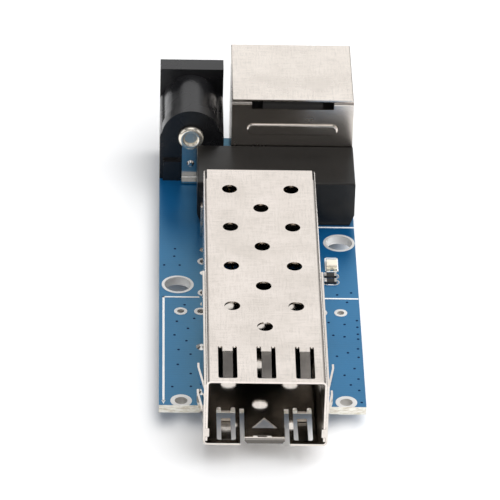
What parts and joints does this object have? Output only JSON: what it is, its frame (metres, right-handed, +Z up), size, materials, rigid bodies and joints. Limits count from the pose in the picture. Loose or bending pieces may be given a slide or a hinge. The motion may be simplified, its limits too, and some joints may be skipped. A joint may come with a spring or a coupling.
{
  "type": "fibre media converter board",
  "caption": "Bare circuit board with a slotted metal cage for a pluggable optical module at one end and a network socket beside a round power socket at the other.",
  "frame": {"origin": "on the surface that the trimmed lead tails stand on, under the middle of the object's bounding box", "axes": "+X to the right of the board seen from the cage's mouth, +Y from the cage's mouth to the rear sockets, +Z up out of the component side"},
  "size_m": [0.0254, 0.0744, 0.0165],
  "materials": {
    "laminate": "blue solder mask on woven laminate",
    "tin": "bright tin plate",
    "solder": "shiny solder",
    "cage_metal": "bright nickel-plated sheet",
    "shield_metal": "bright nickel-plated sheet",
    "connector_plastic": "black moulded nylon",
    "gold_contact": "gold-plated bronze",
    "jack_plastic": "black moulded nylon",
    "moulding_compound": "black epoxy, slightly glossy",
    "lamp_base": "white laminate",
    "lamp_lens": "cream clear resin",
    "chip_black": "black epoxy",
    "ceramic": "fired ceramic",
    "ferrite": "dark ferrite",
    "copper": "enamelled copper wire"
  },
  "bodies": {
    "converter": {"circuit_board": "laminate", "plated_rings": "tin", "solder_joints": "solder", "cage_cover": "cage_metal", "cage_base": "cage_metal", "optic_connector_housing": "connector_plastic", "optic_connector_contacts": "gold_contact", "rj45_shield": "shield_metal", "rj45_housing": "connector_plastic", "rj45_contacts": "gold_contact", "jack_housing": "jack_plastic", "jack_centre_pin": "tin", "jack_pin_terminal": "tin", "jack_sleeve_spring": "tin", "jack_switch_contact": "tin", "transformer_case": "moulding_compound", "transformer_pins": "tin", "status_led_base": "lamp_base", "status_led_lens": "lamp_lens", "resistor_bodies": "chip_black", "resistor_caps": "tin", "controller_chip": "chip_black", "controller_leads": "tin", "memory_chip": "chip_black", "memory_leads": "tin", "regulator_body": "chip_black", "regulator_leads": "tin", "crystal_base": "ceramic", "crystal_lid": "cage_metal", "inductor_bobbin": "ferrite", "inductor_coil": "copper", "capacitor_bodies": "ceramic", "capacitor_caps": "tin"},
    "latch_tongue": {"latch_tongue": "cage_metal"}
  },
  "joints": [
    {"name": "latch_flex", "type": "hinge", "parent": "converter", "child": "latch_tongue", "pos_m": [0.0001, -0.02983, 0.00335], "axis": [1, 0, 0], "range_deg": [0, 6], "stiffness_Nm_per_rad": 0.245}
  ]
}
